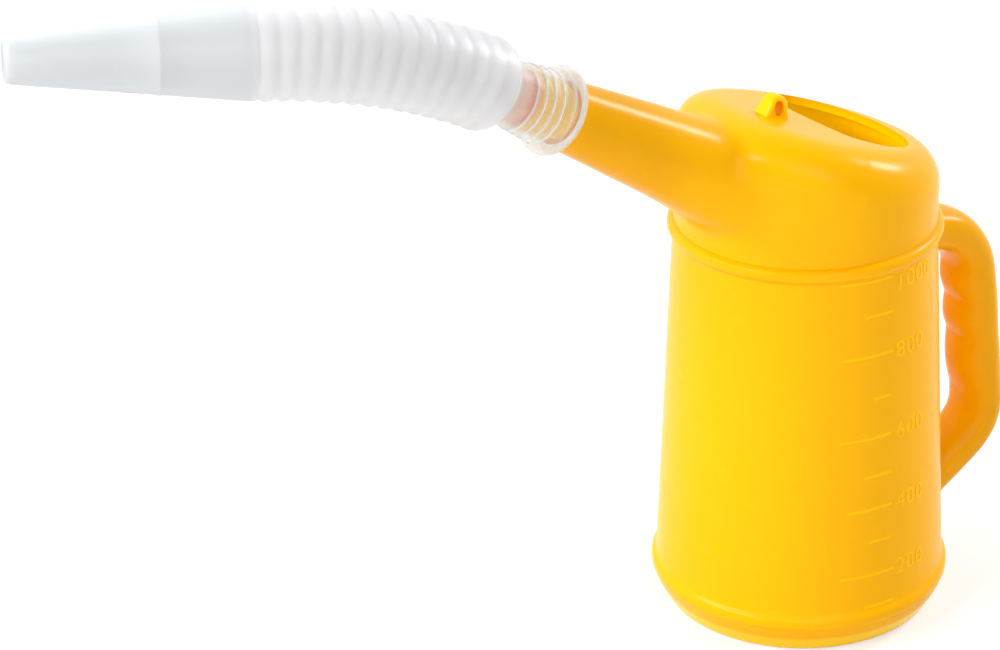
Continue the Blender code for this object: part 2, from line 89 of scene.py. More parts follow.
SPOUT_SHOULDER = 0.1197
SPOUT_END_RADIUS = 0.01166
SPOUT_TAPER = 0.076
SPOUT_FLARE_START = 0.0760
SPOUT_FLARE_LENGTH = 0.0400
SPOUT_FLARE_SIDE = 0.0140
SPOUT_FLARE_UP = 0.0030
MOUTH_END = 0.1362
MOUTH_RADIUS = 0.0097
MOUTH_BORE = 0.0079
HANDLE_PATH = (
    (0.0000, 0.1303), (0.0080, 0.1293), (0.0190, 0.1248), (0.0264, 0.1146), (0.0289, 0.0992),
    (0.0299, 0.0820), (0.0311, 0.0640), (0.0311, 0.0500), (0.0264, 0.0413), (0.0156, 0.0336),
    (0.0000, 0.0245),
)
HANDLE_DEPTH = 0.0157
HANDLE_WIDTH = 0.0215
HANDLE_SQUARENESS = 0.85        # of its section: 1 is an ellipse, less is squarer
HANDLE_ROOT_FLARE = 0.0034
HANDLE_ROOT_REACH = 0.0075      # of that flare, from the wall
GRIP_GROOVES_Z = (0.0590, 0.0822, 0.0972, 0.1130)
GRIP_LOBE = 0.0022
COLLAR_RIM = 0.1200
COLLAR_SEAT = 0.1383
NECK_END = 0.1486
HOSE_START = 0.1512
THREAD_PITCH = 0.0036
THREAD_START = 0.29             # share of a turn
COLLAR_MIDDLE_RADIUS = 0.0109   # between its outer and its inner skin
RIB_PITCH = 0.00589
RIBS_IN_SEGMENTS = (4, 3, 3, 4)
RIB_CREST = 0.0158
RIB_VALLEY = 0.0150
NOZZLE_HEADING = radians(22.8)
NOZZLE_ELEVATION = radians(2.9)
NOZZLE_LENGTH = 0.0784
NOZZLE_BASE_RADIUS = 0.0156
NOZZLE_TIP_RADIUS = 0.0071

# Only for the looks
BODY_STEPS = 160
DOME_STEPS = 128
SHOULDER_STEPS = 14
PLATEAU_STEPS = 6
FROSTED_STEPS = 96
PLAIN_WALL_Z = (0.0168, 0.1420)    # between the beads
DOME_FOOT_DEPTH = 0.0012           # how far the dome's solid reaches below its start
SKIN_VOXEL = 0.0006
ROOT_SMOOTHINGS = 130
ROOT_WIDTH = 0.013                 # of the softened band round the rigid spout's root
MARK_SUNK = 0.0001                 # of the lines and numbers, into the wall
FROSTED_WALL = 0.0009
RIB_ROUNDNESS = 3
RIB_STEPS = 12
RIB_SHARPNESS = 0.28               # share of the ribs in the shading of the milky hose
SEAM_RING = 0.0305                 # along the nozzle from the hose

# The scale: height, first and last angle of each line, then the numbers and their heights
LINES = (
    (0.0166, -101.0, -87.4), (0.0292, -111.0, -86.8), (0.0421, -99.1, -88.7),
    (0.0550, -108.2, -88.1), (0.0677, -101.1, -88.1), (0.0826, -111.9, -88.1),
    (0.0974, -96.5, -88.2), (0.1138, -111.0, -87.2), (0.1288, -101.0, -87.2),
    (0.1418, -112.5, -87.2),
)
LINE_WIDTH = 0.0012
LINE_HEIGHT = 0.0006
LINE_BEVEL = 0.00024
NUMBERS = (("200", 0.0292), ("400", 0.0550), ("600", 0.0826), ("800", 0.1136), ("1000", 0.1390))
NUMBERS_START = radians(-85.8)
NUMBER_SIZE = 0.0090
NUMBER_DROP = 0.0031


# Meshes

def curve_through(points, steps):
    """A smooth curve through the points, with the given steps to each span."""
    points = [Vector(point) for point in points]
    ends = [2 * points[0] - points[1], *points, 2 * points[-1] - points[-2]]
    out = []
    for a, b, c, d in zip(ends, ends[1:], ends[2:], ends[3:]):
        for i in range(steps):
            t = i / steps
            out.append(0.5 * (2 * b + (c - a) * t + (2 * a - 5 * b + 4 * c - d) * t ** 2
                              + (3 * b - a - 3 * c + d) * t ** 3))
    return out + [points[-1]]


def spun(profile, steps=96, closed=False):
    """Spin (radius, height) points about Z. Points on the axis become poles."""
    bm = bmesh.new()
    points = [bm.verts.new((radius, 0, height)) for radius, height in profile]
    pairs = list(zip(points, points[1:]))
    if closed:
        pairs.append((points[-1], points[0]))
    edges = [bm.edges.new(pair) for pair in pairs]
    bmesh.ops.spin(bm, geom=points + edges, cent=(0, 0, 0), axis=(0, 0, 1), angle=2 * pi,
                   steps=steps, use_merge=True)
    bmesh.ops.remove_doubles(bm, verts=bm.verts, dist=1e-6)
    bmesh.ops.recalc_face_normals(bm, faces=bm.faces)
    return bm


def moved(bm, change):
    """Put every vertex where the change says."""
    for vert in bm.verts:
        vert.co = change(vert.co)
    return bm


def noted(bm, name, amount):
    """Keep an amount for each vertex in a layer that a finish reads."""
    layer = bm.verts.layers.float.new(name)
    for vert in bm.verts:
        vert[layer] = amount(vert.co)
    return bm


def piece(name, bm, finish, crease=40):
    """A finished object at the origin, smooth apart from edges sharper than the crease."""
    bmesh.ops.recalc_face_normals(bm, faces=bm.faces)
    mesh = bpy.data.meshes.new(name)
    bm.to_mesh(mesh)
    bm.free()
    mesh.shade_smooth()
    mesh.set_sharp_from_angle(angle=radians(crease))
    made = bpy.data.objects.new(name, mesh)
    bpy.context.collection.objects.link(made)
    if finish:
        mesh.materials.append(finish)
    return made


def settled(made, crease=40):
    """Apply the modifiers and give back the same object with the mesh they make."""
    seen = made.evaluated_get(bpy.context.evaluated_depsgraph_get())
    mesh = bpy.data.meshes.new_from_object(seen)
    made.modifiers.clear()
    made.data = mesh
    mesh.shade_smooth()
    mesh.set_sharp_from_angle(angle=radians(crease))
    return made


def cut(made, *cutters, crease=40):
    """Take the cutters out of an object and throw them away."""
    for cutter in cutters:
        change = made.modifiers.new("cut", "BOOLEAN")
        change.operation = "DIFFERENCE"
        change.solver = "EXACT"
        change.object = cutter
    settled(made, crease)
    for cutter in cutters:
        bpy.data.objects.remove(cutter)
    return made


def united(name, *parts):
    """Join helper solids into one closed helper."""
    first = parts[0]
    first.name = name
    for part in parts[1:]:
        change = first.modifiers.new("join", "BOOLEAN")
        change.operation = "UNION"
        change.solver = "EXACT"
        change.object = part
    settled(first)
    for part in parts[1:]:
        bpy.data.objects.remove(part)
    return first


# Places

def wall_radius(z):
    return WALL_RADIUS_AT_BASE - WALL_TAPER * z


def top_z(x, y):
    """Height of the dome's sloping, slightly crowned top."""
    return TOP_CENTRE_Z - x * tan(TOP_SLOPE) - TOP_CROWN_SAG * (y / DOME_RADIUS) ** 2


def shoulder_radius(a):
    middle = (SPOUT_SIDE_SHOULDER + HANDLE_SIDE_SHOULDER) / 2
    swing = (SPOUT_SIDE_SHOULDER - HANDLE_SIDE_SHOULDER) / 2
    softer = SPOUT_SIDE_SOFTER * max(0.0, -cos(a)) ** 3
    return middle - swing * cos(a) + (CROSS_SHOULDER - middle) * sin(a) ** 2 + softer


def spout_axes():
    along = Vector((-cos(SPOUT_ELEVATION), 0, sin(SPOUT_ELEVATION)))
    across = Vector((0, 1, 0))
    return along, across, along.cross(across)


def on_spout(co):
    """From a shape on the Z axis to the rigid spout's axis."""
    along, across, up = spout_axes()
    return Vector((0, 0, SPOUT_AXIS_Z)) + along * co.z + across * co.x + up * co.y


def spout_radius(distance):
    return SPOUT_END_RADIUS + SPOUT_TAPER * (SPOUT_SHOULDER - distance)


def flared(co):
    """Near the dome the rigid spout spreads, most of all to the sides."""
    share = max(0.0, SPOUT_FLARE_START - co.z) / SPOUT_FLARE_LENGTH
    radius = max(hypot(co.x, co.y), 1e-9)
    wide = 1 + SPOUT_FLARE_SIDE * share ** 2 / radius
    high = 1 + SPOUT_FLARE_UP * share ** 2 / radius
    return Vector((co.x * wide, co.y * high, co.z))


def hose_bend():
    """Start of the hose, its direction, the way it bends, and its whole angle."""
    along = spout_axes()[0]
    start = Vector((0, 0, SPOUT_AXIS_Z)) + along * HOSE_START
    level = cos(NOZZLE_ELEVATION)
    end = Vector((-level * cos(NOZZLE_HEADING), level * sin(NOZZLE_HEADING), sin(NOZZLE_ELEVATION)))
    towards = (end - along * end.dot(along)).normalized()
    return start, along, towards, along.angle(end)


def hose_length():
    return RIB_PITCH * sum(RIBS_IN_SEGMENTS)


def hose_frame(distance):
    """Centre and directions at a distance along the hose, which ends straight."""
    start, along, towards, bend = hose_bend()
    radius = hose_length() / bend
    turn = max(0.0, min(distance, hose_length())) / radius
    centre = start + radius * (sin(turn) * along + (1 - cos(turn)) * towards)
    heading = cos(turn) * along + sin(turn) * towards
    centre += heading * (distance - turn * radius)
    normal = along.cross(towards)
    return centre, heading, normal, heading.cross(normal)


def on_hose(co):
    """From a shape on the Z axis to the bent hose, its height being the distance along the hose."""
    centre, _, normal, side = hose_frame(co.z)
    return centre + normal * co.x + side * co.y


# Jug

def jug_wall(finish):
    """Foot, base bead, tapered wall and top bead, spun as one hollow vessel."""
    bottom, top = PLAIN_WALL_Z
    low = curve_through([
        (FOOT_RADIUS - 0.0016, 0), (FOOT_RADIUS - 0.0004, 0.0005), (FOOT_RADIUS + 0.0003, 0.0017),
        (0.0520, 0.0068), (0.0530, 0.0096), (0.0532, 0.0104), (0.0537, 0.0112),
        (BASE_BEAD_RADIUS, 0.0124), (0.0537, 0.0138), (0.0531, 0.0149), (0.0524, 0.0157),
        (wall_radius(bottom), bottom)], 3)
    high = curve_through([
        (wall_radius(top), top), (wall_radius(0.1427) + 0.0001, 0.1427), (0.0472, 0.1435),
        (0.0480, 0.1444), (0.0484, 0.1455), (0.0484, 0.1465), (0.0480, 0.1475), (0.0471, 0.1482),
        (DOME_RADIUS, DOME_START)], 3)
    steps = 24
    heights = [bottom + (top - bottom) * i / steps for i in range(1, steps)]
    tall = [(wall_radius(z), z) for z in heights]
    inside = [(DOME_RADIUS - WALL, DOME_START), (wall_radius(TOP_BEAD_Z) - WALL, TOP_BEAD_Z),
              (wall_radius(BASE_BEAD_Z) - WALL, BASE_BEAD_Z), (FOOT_RADIUS - WALL, 0.0030),
              (FOOT_RADIUS - 2 * WALL, WALL), (0, WALL)]
    profile = [(0, 0), *[tuple(p) for p in low], *tall, *[tuple(p) for p in high], *inside]

    # Painted light: the inner skin is marked to glow a little in the finish, standing in for light that
    # comes through the wall.
    def painted_glow_inside(co):
        return float(hypot(co.x, co.y) < wall_radius(co.z) - WALL / 2 and co.z > WALL / 2)

    return piece("jug_wall", noted(spun(profile, BODY_STEPS), "inside", painted_glow_inside), finish)


def dome_point(co, inset):
    """Where a point of the dome's plain grid goes. Its height there counts the steps up the dome."""
    a = atan2(co.y, co.x)
    step = round(co.z)
    if step < 0:
        on_axis = hypot(co.x, co.y) < 0.5
        reach = 0 if on_axis else DOME_RADIUS - inset
        return Vector((reach * cos(a), reach * sin(a), DOME_START - DOME_FOOT_DEPTH - inset * 3))
    rounding = shoulder_radius(a)
    edge = DOME_RADIUS - rounding
    if step <= SHOULDER_STEPS:
        turn = pi / 2 * step / SHOULDER_STEPS
        out = (rounding - inset) * cos(turn)
        drop = (rounding - inset) * (1 - sin(turn)) + inset + out * cos(a) * tan(TOP_SLOPE)
        height = top_z(edge * cos(a), edge * sin(a)) - drop
        return Vector(((edge + out) * cos(a), (edge + out) * sin(a), height))
    radius = edge * (1 - (step - SHOULDER_STEPS) / PLATEAU_STEPS)
    x, y = radius * cos(a), radius * sin(a)
    return Vector((x, y, top_z(x, y) - inset))


def dome_solid(inset, steps):
    """The dome above the wall: rounded shoulder, then the sloping top."""
    count = SHOULDER_STEPS + PLATEAU_STEPS
    grid = [(0, -1), (1, -1), *[(1, step) for step in range(count)], (0, count)]
    return moved(spun(grid, steps), lambda co: dome_point(co, inset))


def rigid_spout_solid(inset):
    """Flared root and tapered length, to just short of the mouth."""
    start = SPOUT_FLARE_START - SPOUT_FLARE_LENGTH
    steps = 40
    stations = [start + (SPOUT_SHOULDER - start) * i / steps for i in range(steps)]
    edge = 0.0008
    profile = [(0, start)] + [(spout_radius(d) - inset, d) for d in stations]
    profile += [(SPOUT_END_RADIUS - inset, SPOUT_SHOULDER - edge),
                (SPOUT_END_RADIUS - inset - 0.3 * edge, SPOUT_SHOULDER - 0.3 * edge),
                (SPOUT_END_RADIUS - inset - edge, SPOUT_SHOULDER),
                (0, SPOUT_SHOULDER)]
    return moved(moved(spun(profile, 80), flared), on_spout)


def opening_prism(name, outset, depth):
    """The filler opening's outline, grown by the outset, from the depth below the top to above it."""
    three_times_round = [(x, y, 0) for x, y in OPENING_OUTLINE * 3]
    steps = 6
    count = len(OPENING_OUTLINE) * steps
    outline = curve_through(three_times_round, steps)[count:2 * count]
    above = 0.004
    grown = []
    befores, afters = outline[-1:] + outline[:-1], outline[1:] + outline[:1]
    for before, point, after in zip(befores, outline, afters):
        along = (after - before).normalized()
        grown.append(point + outset * Vector((along.y, -along.x, 0)))
    bm = bmesh.new()
    low = bm.faces.new([bm.verts.new((p.x, p.y, top_z(p.x, p.y) - depth)) for p in grown])
    raised = bmesh.ops.extrude_face_region(bm, geom=[low])
    lifted = [v for v in raised["geom"] if isinstance(v, bmesh.types.BMVert)]
    bmesh.ops.translate(bm, verts=lifted, vec=(0, 0, depth + above))
    return piece(name, bm, None)


def root_nearness(co):
    """1 on the line where the rigid spout leaves the dome, falling to 0 at the band's edge."""
    along, across, up = spout_axes()
    offset = co - Vector((0, 0, SPOUT_AXIS_Z))
    distance = offset.dot(along)
    if not 0.020 < distance < 0.090 or co.z < DOME_START + 0.0008:
        return 0.0
    share = max(0.0, SPOUT_FLARE_START - distance) / SPOUT_FLARE_LENGTH
    wide = spout_radius(distance) + SPOUT_FLARE_SIDE * share ** 2
    high = spout_radius(distance) + SPOUT_FLARE_UP * share ** 2
    from_spout = (hypot(offset.dot(across) / wide, offset.dot(up) / high) - 1) * high
    from_dome = max(hypot(co.x, co.y) - DOME_RADIUS, co.z - top_z(co.x, co.y))
    above_bead = min(1.0, (co.z - DOME_START) / 0.006)
    return above_bead * max(0.0, 1 - max(abs(from_spout), abs(from_dome)) / ROOT_WIDTH)


def jug_top(finish):
    """Dome and rigid spout grown into one skin, softened where they meet, then hollowed."""
    both = dome_solid(0, DOME_STEPS)
    spout = bpy.data.meshes.new("rigid spout")
    rigid_spout_solid(0).to_mesh(spout)
    both.from_mesh(spout)
    top = piece("jug_top", both, finish)
    grown = top.modifiers.new("skin", "REMESH")
    grown.mode = "VOXEL"
    grown.voxel_size = SKIN_VOXEL
    settled(top)
    bm = bmesh.new()
    bm.from_mesh(top.data)
    nearness = {vert: root_nearness(vert.co) for vert in bm.verts}
    for turn in range(ROOT_SMOOTHINGS):
        root = [vert for vert, near in nearness.items() if near > turn / ROOT_SMOOTHINGS]
        bmesh.ops.smooth_vert(bm, verts=root, factor=0.5,
                              use_axis_x=True, use_axis_y=True, use_axis_z=True)
    bm.to_mesh(top.data)
    skin = BVHTree.FromBMesh(bm)
    bm.free()
    lip = opening_prism("lip", WALL, OPENING_LIP)
    cavity = cut(piece("cavity", dome_solid(WALL, 96), None), lip)
    bore = piece("bore", rigid_spout_solid(WALL), None)
    low, high = 0.108, 0.128
    rod = spun([(0, low), (MOUTH_BORE, low), (MOUTH_BORE, high), (0, high)], 48)
    mouth = piece("mouth bore", moved(rod, on_spout), None)
    hole = opening_prism("hole", 0, 2 * OPENING_LIP)
    cut(top, united("hollow", cavity, bore, mouth, hole), crease=50)
    # Painted light: points more than half a wall in from the outer skin glow a little in the finish.
    # This stands in for light that comes through the wall and brightens the opening's lip.
    depth = top.data.attributes.new("inside", "FLOAT", "POINT")
    for vert, value in zip(top.data.vertices, depth.data):
        value.value = float(skin.find_nearest(vert.co)[3] > WALL / 2)
    return top


def thread_ridge(distance, angle, sharpness):
    """1 on the crest of the right-hand thread and 0 between its turns."""
    turn = distance / THREAD_PITCH - angle / (2 * pi) - THREAD_START
    return (0.5 + 0.5 * cos(2 * pi * turn)) ** sharpness


def fade(value, low, high, soft):
    """1 between low and high, falling to 0 over the soft length at both ends."""
    return max(0.0, min(1.0, (value - low) / soft, (high - value) / soft))


def along_stops(value, stops):
    """The amount at a value, straight between the given (value, amount) stops."""
    for (low, below), (high, above) in zip(stops, stops[1:]):
        if value <= high:
            return below + (above - below) * max(0.0, (value - low) / (high - low))
    return stops[-1][1]


def spout_mouth(finish):
    """The threaded mouth that the collar screws over."""
    start, end = SPOUT_SHOULDER - 0.0020, MOUTH_END - 0.0005
    root, ridge = MOUTH_RADIUS - 0.0006, 0.0008
    steps = 90
    outer = [(root, start + (end - start) * i / steps) for i in range(steps + 1)]
    profile = [*outer, (MOUTH_RADIUS - 0.0011, MOUTH_END), (MOUTH_BORE, MOUTH_END), (MOUTH_BORE, start)]

    def threaded(co):
        radius = hypot(co.x, co.y)
        if radius < MOUTH_BORE + 0.0008:
            return co
        shown = fade(co.z, SPOUT_SHOULDER + 0.0012, MOUTH_END - 0.0008, 0.0016)
        grown = 1 + ridge * shown * thread_ridge(co.z, atan2(co.y, co.x), 1.6) / radius
        return Vector((co.x * grown, co.y * grown, co.z))

    # Painted light: the whole mouth is marked to glow a little in the finish, which makes it look
    # brighter yellow.
    bm = noted(spun(profile, 96, closed=True), "inside", lambda co: 1.0)
    return piece("spout_mouth", moved(moved(bm, threaded), on_spout), finish)


def grip_lobe(z):
    for low, high in zip(GRIP_GROOVES_Z, GRIP_GROOVES_Z[1:]):
        if low < z < high:
            return GRIP_LOBE * sin(pi * (z - low) / (high - low))
    return 0.0


def handle(finish):
    """A rounded section extruded along the handle, flared where it grows out of the wall."""
    path = curve_through([(wall_radius(z) + out, 0, z) for out, z in HANDLE_PATH], 12)
    sides = 48
    bm = bmesh.new()
    ring = bmesh.ops.create_circle(bm, cap_ends=True, radius=1, segments=sides)["verts"]
    shape = [(v.co.x, v.co.y) for v in ring]
    place_handle_ring(ring, shape, path, 0)
    face = bm.faces[:][0]
    for station in range(1, len(path)):
        grown = bmesh.ops.extrude_face_region(bm, geom=[face])
        end = [f for f in grown["geom"] if isinstance(f, bmesh.types.BMFace)][0]
        if station > 1:
            bmesh.ops.delete(bm, geom=[face], context="FACES_ONLY")
        place_handle_ring(end.verts[:], shape, path, station)
        face = end
    return piece("handle", bm, finish, crease=60)


def place_handle_ring(verts, shape, path, station):
    """Set one ring of the handle at its place on the path."""
    centre = path[station]
    before, after = path[max(station - 1, 0)], path[min(station + 1, len(path) - 1)]
    along = (after - before).normalized()
    inward = Vector((0, 1, 0)).cross(along)
    reach = hypot(centre.x, centre.y) - wall_radius(centre.z)
    flare = HANDLE_ROOT_FLARE * max(0.0, 1 - reach / HANDLE_ROOT_REACH) ** 2
    width = HANDLE_WIDTH / 2 + flare
    for vert, (x, y) in zip(verts, shape):
        rounded_x = abs(x) ** HANDLE_SQUARENESS * (1 if x > 0 else -1)
        rounded_y = abs(y) ** HANDLE_SQUARENESS * (1 if y > 0 else -1)
        depth = HANDLE_DEPTH / 2 + flare
        if x > 0:
            depth += grip_lobe(centre.z) * (1 - 0.25 * y * y)
        spot = centre + inward * depth * rounded_x + Vector((0, rounded_y * width, 0))
        if station in (0, len(path) - 1):
            share = (wall_radius(spot.z) - 0.0009) / max(hypot(spot.x, spot.y), 1e-9)
            spot.x *= share
            spot.y *= share
        vert.co = spot


def lug(finish):
    """The ear on the sloping top: an arch round its cross hole, drawn in towards its top."""
    half = LUG_LENGTH / 2
    foot = top_z(LUG_X, 0) - LUG_SUNK
    arch_x, arch_z = half - LUG_ARCH_RADIUS, top_z(LUG_X, 0) + LUG_HEIGHT - LUG_ARCH_RADIUS
    outline = [(half + 0.0003, foot - half * tan(TOP_SLOPE))]
    outline += [(arch_x + LUG_ARCH_RADIUS * cos(a), arch_z + LUG_ARCH_RADIUS * sin(a))
                for a in [pi * i / 24 for i in range(23)]]
    outline.append((-half - 0.0004, foot + half * tan(TOP_SLOPE)))
    bm = bmesh.new()
    near = bm.faces.new([bm.verts.new((LUG_X + x, LUG_Y - LUG_WIDTH / 2, z)) for x, z in outline])
    grown = bmesh.ops.extrude_face_region(bm, geom=[near])
    far = [v for v in grown["geom"] if isinstance(v, bmesh.types.BMVert)]
    bmesh.ops.translate(bm, verts=far, vec=(0, LUG_WIDTH, 0))
    bmesh.ops.recalc_face_normals(bm, faces=bm.faces)
    shown = [edge for edge in bm.edges if edge.calc_face_angle() > radians(25)
             and max(v.co.z for v in edge.verts) > top_z(LUG_X, 0)]
    bmesh.ops.bevel(bm, geom=shown, offset=LUG_BEVEL, segments=4, profile=0.5, affect="EDGES",
                    material=-1)

    def drawn_in(co):
        share = 1 - 38 * max(0.0, co.z - foot - LUG_SUNK)
        return Vector((co.x, LUG_Y + (co.y - LUG_Y) * share, co.z))

    made = piece("lug", moved(bm, drawn_in), finish)
    hole = bmesh.new()
    wide, tall = 0.95, 1.3
    middle_x, middle_z = LUG_X + arch_x - 0.0003, arch_z - 0.0005
    bmesh.ops.create_cone(hole, cap_ends=True, segments=40, radius1=LUG_HOLE_RADIUS,
                          radius2=LUG_HOLE_RADIUS, depth=0.03)
    bmesh.ops.scale(hole, vec=(wide, tall, 1), verts=hole.verts)
    bmesh.ops.rotate(hole, cent=(0, 0, 0), matrix=Matrix.Rotation(pi / 2, 3, "X"), verts=hole.verts)
    bmesh.ops.translate(hole, verts=hole.verts, vec=(middle_x, 0, middle_z))
    cut(made, piece("lug hole", hole, None))
    # Painted light: the lug glows a little in the finish to look brighter. Only the wall of its hole is
    # left without glow, so it stays darker.
    painted_lug_glow = made.data.attributes.new("inside", "FLOAT", "POINT")
    for vert, value in zip(made.data.vertices, painted_lug_glow.data):
        from_hole = hypot((vert.co.x - middle_x) / wide, (vert.co.z - middle_z) / tall)
        value.value = 0.0 if from_hole < LUG_HOLE_RADIUS + 0.0001 else 1.0
    return made


def wrapped(co, middle, z, proud):
    """Lay a flat mark on the wall: x runs round it, y up it and z out of it."""
    height = z + co.y
    radius = wall_radius(height) + proud + co.z
    a = middle + co.x / wall_radius(z)
    return Vector((radius * cos(a), radius * sin(a), height))


def graduations(finish):
    """Raised lines and numbers of the scale, in one piece."""
    whole = bmesh.new()
    for z, first, last in LINES:
        length = radians(last - first) * wall_radius(z)
        bm = bmesh.new()
        bmesh.ops.create_cube(bm, size=1)
        bmesh.ops.scale(bm, vec=(length, LINE_WIDTH, LINE_HEIGHT), verts=bm.verts)
        raised = [edge for edge in bm.edges if min(v.co.z for v in edge.verts) > 0]
        bmesh.ops.bevel(bm, geom=raised, offset=LINE_BEVEL, segments=3, profile=0.5, affect="EDGES",
                        material=-1)
        for cut_at in range(-7, 8):
            bmesh.ops.bisect_plane(bm, geom=bm.verts[:] + bm.edges[:] + bm.faces[:],
                                   plane_co=(length * cut_at / 16, 0, 0), plane_no=(1, 0, 0))
        middle = radians((first + last) / 2)
        moved(bm, lambda co: wrapped(co, middle, z, -MARK_SUNK))
        absorb(whole, bm)
    for words, z in NUMBERS:
        absorb(whole, numeral(words, z))
    # Painted light: the marks glow a little in the finish, about half as much as the inside.
    return piece("graduations", noted(whole, "inside", lambda co: 0.55), finish, crease=50)


def absorb(whole, bm):
    """Add a mesh to the whole and free it."""
    part = bpy.data.meshes.new("part")
    bm.to_mesh(part)
    bm.free()
    whole.from_mesh(part)
    bpy.data.meshes.remove(part)


def numeral(words, z):
    """One number as raised strokes on the wall."""
    text = bpy.data.curves.new("number", "FONT")
    text.body = words
    text.size = NUMBER_SIZE
    text.space_character = 1.12
    text.extrude = 0.0002
    text.bevel_depth = 0.0001
    text.offset = -0.00012
    text.bevel_resolution = 1
    text.resolution_u = 4
    holder = bpy.data.objects.new("number", text)
    bpy.context.collection.objects.link(holder)
    seen = holder.evaluated_get(bpy.context.evaluated_depsgraph_get())
    flat = bpy.data.meshes.new_from_object(seen)
    bpy.data.objects.remove(holder)
    bm = bmesh.new()
    bm.from_mesh(flat)
    bmesh.ops.remove_doubles(bm, verts=bm.verts, dist=1e-6)
    bmesh.ops.triangulate(bm, faces=bm.faces)
    drop = Vector((0, NUMBER_DROP, 0))
    return moved(bm, lambda co: wrapped(co - drop, NUMBERS_START, z, -MARK_SUNK))


# Flexible spout

def strainer(finish):
    """Spigot, flange and slotted dome of the red insert."""
    seat = MOUTH_END + 0.0003
    bore = 0.0075
    profile = [(bore - 0.0012, -0.0080), (bore, -0.0080), (bore, 0), (0.0095, 0), (0.0095, 0.0013),
               (0.0093, 0.0015)]
    turns = [pi / 2 * i / 12 for i in range(13)]
    profile += [(0.0083 * cos(t) ** 0.6, 0.0015 + 0.0060 * sin(t)) for t in turns[:-1]]
    profile += [(0, 0.0075), (0, 0.0063)]
    profile += [(0.0071 * cos(t) ** 0.6, 0.0015 + 0.0048 * sin(t)) for t in turns[-2:0:-1]]
    profile.append((bore - 0.0012, 0))
    bm = spun(profile, 64, closed=True)
    moved(bm, lambda co: on_spout(Vector((co.x, co.y, co.z + seat))))
    made = piece("strainer_insert", bm, finish)
    slots = bmesh.new()
    for i in range(8):
        box = bmesh.ops.create_cube(slots, size=1)["verts"]
        bmesh.ops.scale(slots, vec=(0.0020, 0.0014, 0.0036), verts=box)
        bmesh.ops.translate(slots, vec=(0.0088, 0, 0.0042), verts=box)
        bmesh.ops.rotate(slots, cent=(0, 0, 0), matrix=Matrix.Rotation(pi * i / 4, 3, "Z"), verts=box)
    moved(slots, lambda co: on_spout(Vector((co.x, co.y, co.z + seat))))
    return cut(made, piece("slots", slots, None))


def collar_thread_shown(z):
    """1 where the collar's thread stands, falling to 0 at its ends."""
    return fade(z, COLLAR_RIM + 0.0048, COLLAR_SEAT + 0.0026, 0.0014)


def collar(finish):
    """End bead, threaded length and neck of the flexible spout."""
    outer = curve_through([
        (0.0139, COLLAR_RIM), (0.0142, COLLAR_RIM + 0.0003), (0.0150, COLLAR_RIM + 0.0010),
        (0.0154, COLLAR_RIM + 0.0022), (0.0153, COLLAR_RIM + 0.0036), (0.0146, COLLAR_RIM + 0.0050),
        (0.0134, COLLAR_RIM + 0.0061), (0.0126, COLLAR_RIM + 0.0072), (0.0123, COLLAR_RIM + 0.0095),
        (0.0118, COLLAR_RIM + 0.0135), (0.0114, COLLAR_SEAT - 0.0010), (0.0112, COLLAR_SEAT + 0.0010),
        (0.0112, NECK_END - 0.0030), (0.0116, NECK_END - 0.0008), (0.0130, NECK_END + 0.0010),
        (0.0144, HOSE_START - 0.0008), (RIB_VALLEY, HOSE_START)], 9)
    bore = MOUTH_RADIUS + 0.00045
    inner = curve_through([
        (RIB_VALLEY - 0.0001, HOSE_START), (0.0134, HOSE_START - 0.0006), (0.0118, NECK_END + 0.0012),
        (0.0105, NECK_END - 0.0002), (0.0100, NECK_END - 0.0020), (0.0100, COLLAR_SEAT + 0.0030),
        (bore, COLLAR_SEAT), (bore, COLLAR_SEAT - 0.0060), (bore, COLLAR_RIM + 0.0060),
        (bore, COLLAR_RIM + 0.0030), (bore + 0.0001, COLLAR_RIM + 0.0012),
        (bore + 0.0008, COLLAR_RIM)], 9)
    profile = [tuple(p) for p in outer] + [tuple(p) for p in inner]

    def threaded(co):
        radius = hypot(co.x, co.y)
        if radius > COLLAR_MIDDLE_RADIUS:
            ridge = 0.0006 * thread_ridge(co.z, atan2(co.y, co.x), 5)
        else:
            ridge = 0.0003 * thread_ridge(co.z, atan2(co.y, co.x), 1)
        grown = 1 + collar_thread_shown(co.z) * ridge / radius
        return Vector((co.x * grown, co.y * grown, co.z))

    def cloudy_with_painted_highlight(co):
        if hypot(co.x, co.y) < COLLAR_MIDDLE_RADIUS:
            return 0.04
        # Painted highlight: the thread's crests are made milky and pale, standing in for the highlights
        # along them, on top of the thicker plastic there.
        crest = 0.80 * collar_thread_shown(co.z) * thread_ridge(co.z, atan2(co.y, co.x), 9)
        return crest + along_stops(co.z, (
            (COLLAR_RIM + 0.0001, 1.00), (COLLAR_RIM + 0.0004, 0.20), (COLLAR_RIM + 0.0060, 0.17),
            (COLLAR_SEAT + 0.0010, 0.17), (COLLAR_SEAT + 0.0035, 0.20), (NECK_END - 0.0020, 0.38),
            (NECK_END + 0.0008, 0.66), (HOSE_START, 0.80)))

    bm = noted(spun(profile, FROSTED_STEPS, closed=True), "cloudiness_and_highlight", cloudy_with_painted_highlight)
    return piece("collar", moved(moved(bm, threaded), on_spout), finish, crease=60)


def rib(share):
    """Radius of the ribbed hose between two valleys: wide round crests and narrow soft valleys."""
    return RIB_VALLEY + (RIB_CREST - RIB_VALLEY) * (1 - abs(cos(pi * share)) ** RIB_ROUNDNESS)


